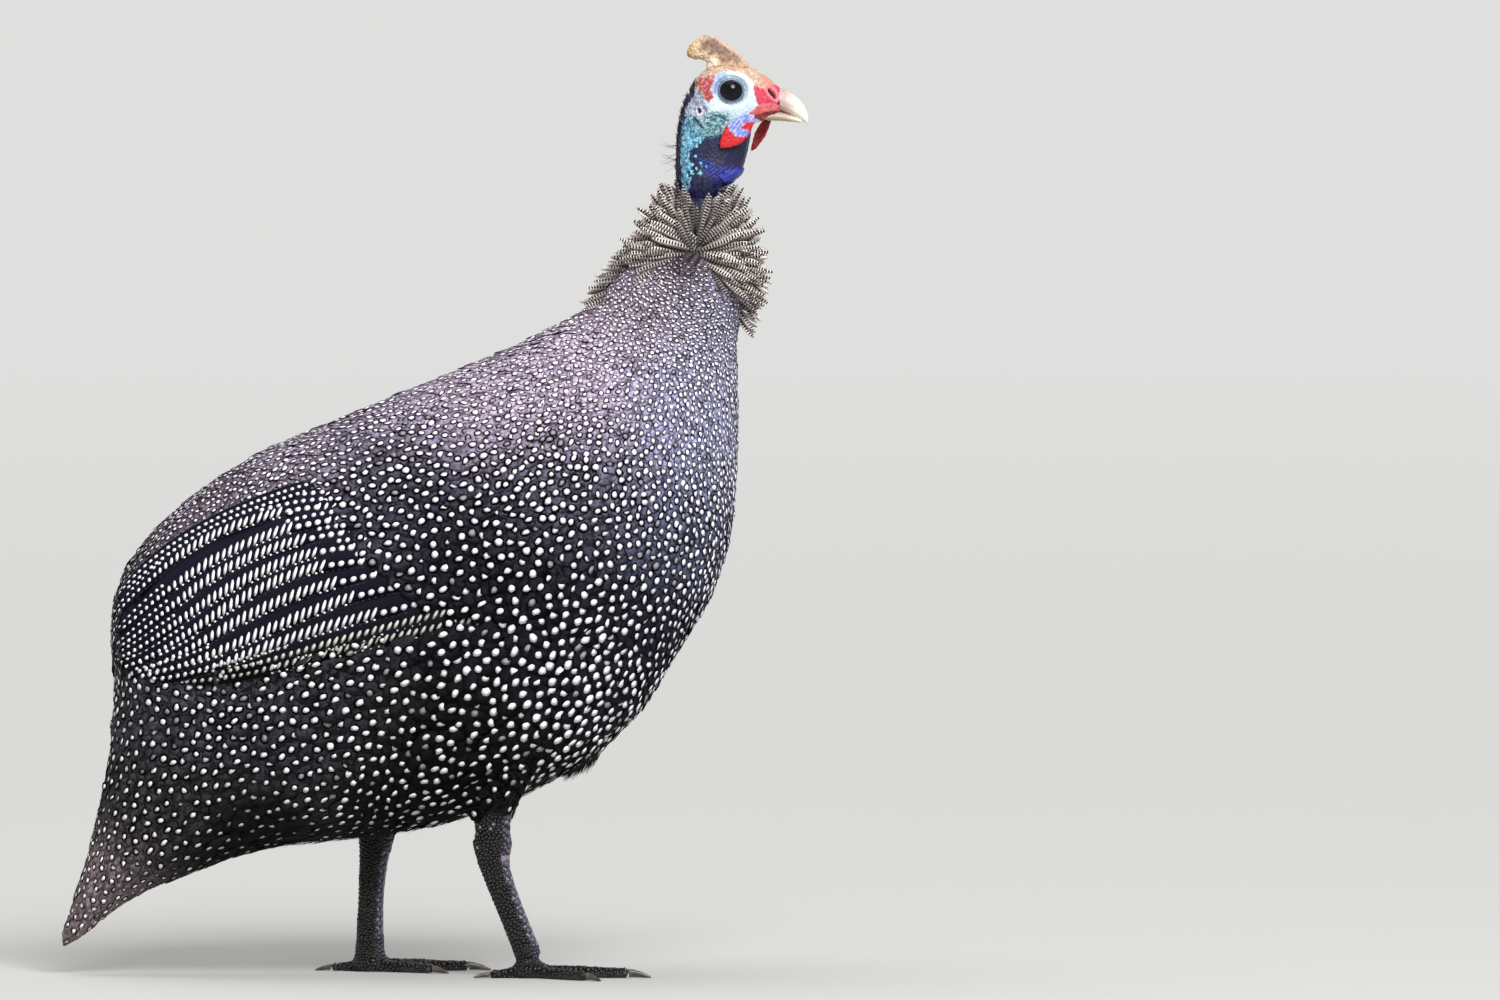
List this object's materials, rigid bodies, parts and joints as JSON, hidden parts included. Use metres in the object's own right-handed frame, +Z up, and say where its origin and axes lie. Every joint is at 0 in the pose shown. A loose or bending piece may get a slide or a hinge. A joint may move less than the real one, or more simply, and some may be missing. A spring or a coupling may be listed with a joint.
{
  "type": "helmeted guineafowl model",
  "caption": "Still, life-size model of a standing guineafowl with folded wings, drooping tail, feathered ruff, bony casque and wattles.",
  "frame": {"origin": "middle of the object's box, on the floor plane under the soles", "axes": "+Z up, +X towards the bill, +Y towards the bird's left side"},
  "size_m": [0.3668, 0.1614, 0.4603],
  "materials": {
    "plumage": "black feathers with round white spots",
    "wing_feathers": "black flight feathers with rows of slanted white bars and spots",
    "tail_feathers": "brown-black feathers with small white spots",
    "ruff_feathers": "narrow buff-grey feathers with fine dark bars",
    "neck_skin": "bare skin, dark blue in front and pale turquoise at the side",
    "face_skin": "bare pale blue skin with red patches",
    "wattle": "smooth red skin, blue at its root",
    "casque_horn": "bony brown horn with a fine grain",
    "bill_horn": "ivory horn with fine ridges",
    "eye": "dark wet eye",
    "leg_scales": "dark scaled skin",
    "claw_horn": "dark horn"
  },
  "bodies": {
    "root": {"wing_left": "wing_feathers", "thigh_left": "plumage", "shank_left": "leg_scales", "foot_left": "leg_scales", "toe_middle_left": "leg_scales", "claw_middle_left": "claw_horn", "toe_inner_left": "leg_scales", "claw_inner_left": "claw_horn", "toe_outer_left": "leg_scales", "claw_outer_left": "claw_horn", "toe_hind_left": "leg_scales", "claw_hind_left": "claw_horn", "eye_left": "eye", "wattle_left": "wattle", "wing_right": "wing_feathers", "thigh_right": "plumage", "shank_right": "leg_scales", "foot_right": "leg_scales", "toe_middle_right": "leg_scales", "claw_middle_right": "claw_horn", "toe_inner_right": "leg_scales", "claw_inner_right": "claw_horn", "toe_outer_right": "leg_scales", "claw_outer_right": "claw_horn", "toe_hind_right": "leg_scales", "claw_hind_right": "claw_horn", "eye_right": "eye", "wattle_right": "wattle", "trunk": "plumage", "tail": "tail_feathers", "neck_lower": "ruff_feathers", "neck_upper": "neck_skin", "head": "face_skin", "casque": "casque_horn", "bill_upper": "bill_horn", "bill_lower": "bill_horn"}
  },
  "joints": []
}
